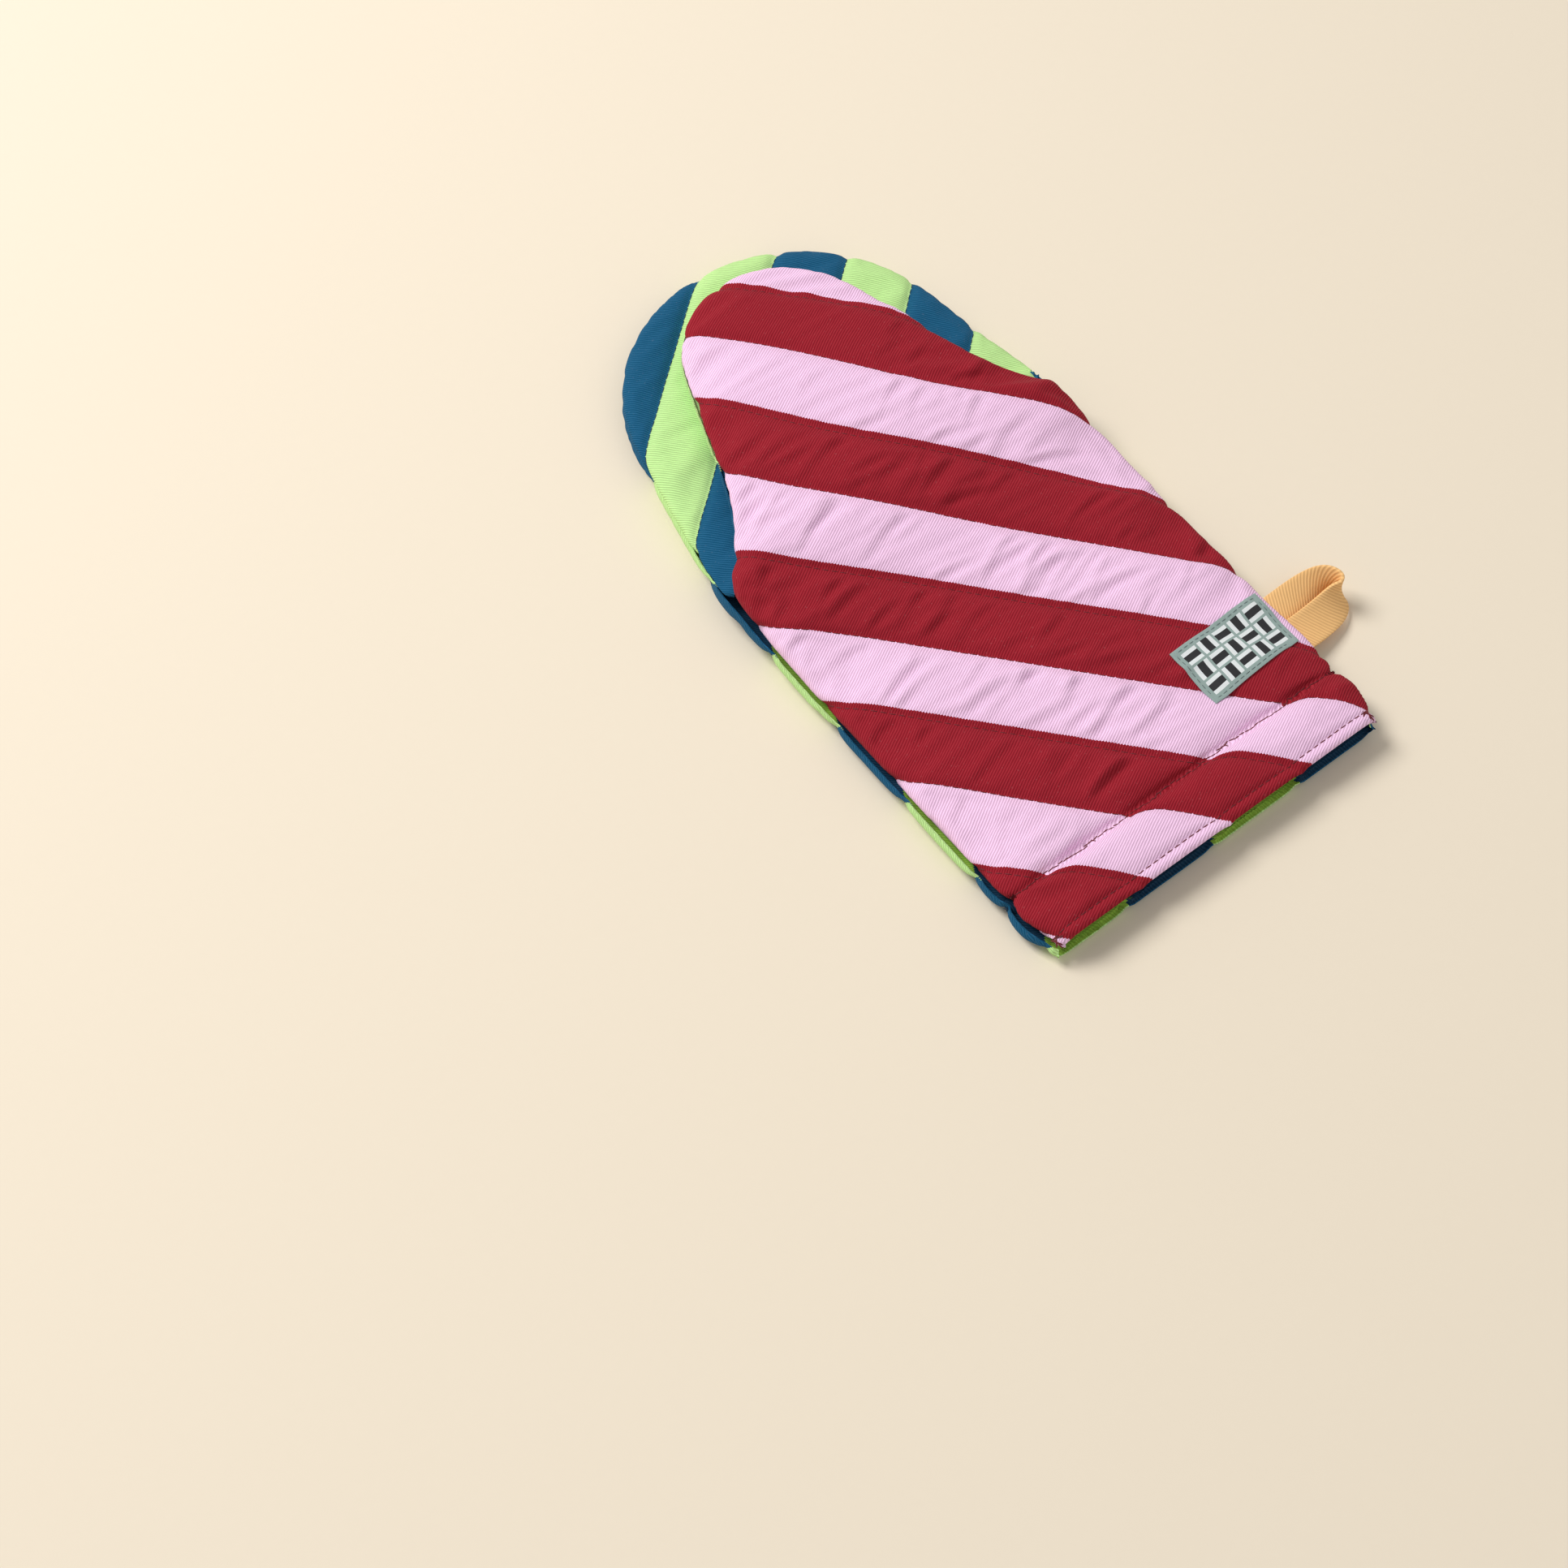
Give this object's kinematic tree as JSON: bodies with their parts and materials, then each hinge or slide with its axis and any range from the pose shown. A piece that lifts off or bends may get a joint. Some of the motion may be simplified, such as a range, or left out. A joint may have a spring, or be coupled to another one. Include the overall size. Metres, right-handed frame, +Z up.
{
  "type": "oven mitt",
  "caption": "Quilted cotton oven mitt lying flat: a padded bag with a thumb that opens against the fingers, a folded palm gusset, a woven label and a tape hanging loop.",
  "frame": {"origin": "on the surface that the mitt lies on, under the middle of its whole box, loop included", "axes": "+Y from the cuff to the fingertips, +Z up out of the thumb side, +X across the cuff towards the hanging loop"},
  "size_m": [0.1834, 0.3104, 0.0298],
  "materials": {
    "pink_striped_cloth": "cotton twill in broad diagonal stripes of pale orchid pink and crimson",
    "green_striped_cloth": "cotton twill in broad diagonal stripes of deep petrol blue and lime green",
    "batting": "white cotton and polyester wadding",
    "lining_cloth": "the same striped cotton twill, turned inside",
    "seam_allowance": "folded edges of striped cotton twill",
    "red_thread": "dark red sewing thread",
    "label_weave": "woven damask label, white and black with a grey border",
    "label_thread": "grey sewing thread",
    "loop_tape": "orange tan twill tape"
  },
  "bodies": {
    "cuff": {"bar_tack_left": "red_thread", "bar_tack_right": "red_thread", "cuff_hem_finger_side": "seam_allowance", "cuff_hem_thumb_side": "seam_allowance", "cuff_stitching_finger_side": "red_thread", "cuff_stitching_thumb_side": "red_thread", "finger_panel_batting_cuff": "batting", "finger_panel_cloth_cuff": "green_striped_cloth", "finger_panel_lining_cuff": "lining_cloth", "finger_panel_quilting_cuff": "red_thread", "label": "label_weave", "label_stitching": "label_thread", "side_seam_left_cuff": "seam_allowance", "side_seam_right_cuff": "seam_allowance", "thumb_panel_batting_cuff": "batting", "thumb_panel_cloth_cuff": "pink_striped_cloth", "thumb_panel_lining_cuff": "lining_cloth", "thumb_panel_quilting_cuff": "red_thread"},
    "hand": {"finger_panel_batting_hand": "batting", "finger_panel_cloth_hand": "green_striped_cloth", "finger_panel_lining_hand": "lining_cloth", "finger_panel_quilting_hand": "red_thread", "finger_seam": "seam_allowance", "gusset_finger_half_batting_hand": "batting", "gusset_finger_half_cloth_hand": "green_striped_cloth", "gusset_finger_half_lining_hand": "lining_cloth", "gusset_fold_batting": "batting", "gusset_fold_cloth": "green_striped_cloth", "gusset_fold_lining": "lining_cloth", "gusset_quilting_finger_half": "red_thread", "side_seam_left_palm": "seam_allowance", "side_seam_right_palm": "seam_allowance", "thumb_panel_batting_palm": "batting", "thumb_panel_cloth_palm": "pink_striped_cloth", "thumb_panel_lining_palm": "lining_cloth", "thumb_panel_quilting_palm": "red_thread"},
    "thumb": {"gusset_quilting_thumb_half": "red_thread", "gusset_thumb_half_batting_tip": "batting", "gusset_thumb_half_cloth_tip": "green_striped_cloth", "gusset_thumb_half_lining_tip": "lining_cloth", "thumb_panel_batting_tip": "batting", "thumb_panel_cloth_tip": "pink_striped_cloth", "thumb_panel_lining_tip": "lining_cloth", "thumb_panel_quilting_tip": "red_thread", "thumb_seam": "seam_allowance"},
    "loop": {"hanging_loop": "loop_tape"}
  },
  "joints": [
    {"name": "wrist_bend", "type": "hinge", "parent": "cuff", "child": "hand", "pos_m": [-0.0127, -0.06024, 0.01968], "axis": [1, 0, 0], "range_deg": [0, 35]},
    {"name": "thumb_swing", "type": "hinge", "parent": "hand", "child": "thumb", "pos_m": [-0.0127, 0.02506, 0.0302], "axis": [1, 0, 0], "range_deg": [0, 55]},
    {"name": "loop_swing", "type": "hinge", "parent": "cuff", "child": "loop", "pos_m": [0.0665, -0.10524, 0.009], "axis": [0, -1, 0], "range_deg": [0, 60]}
  ]
}
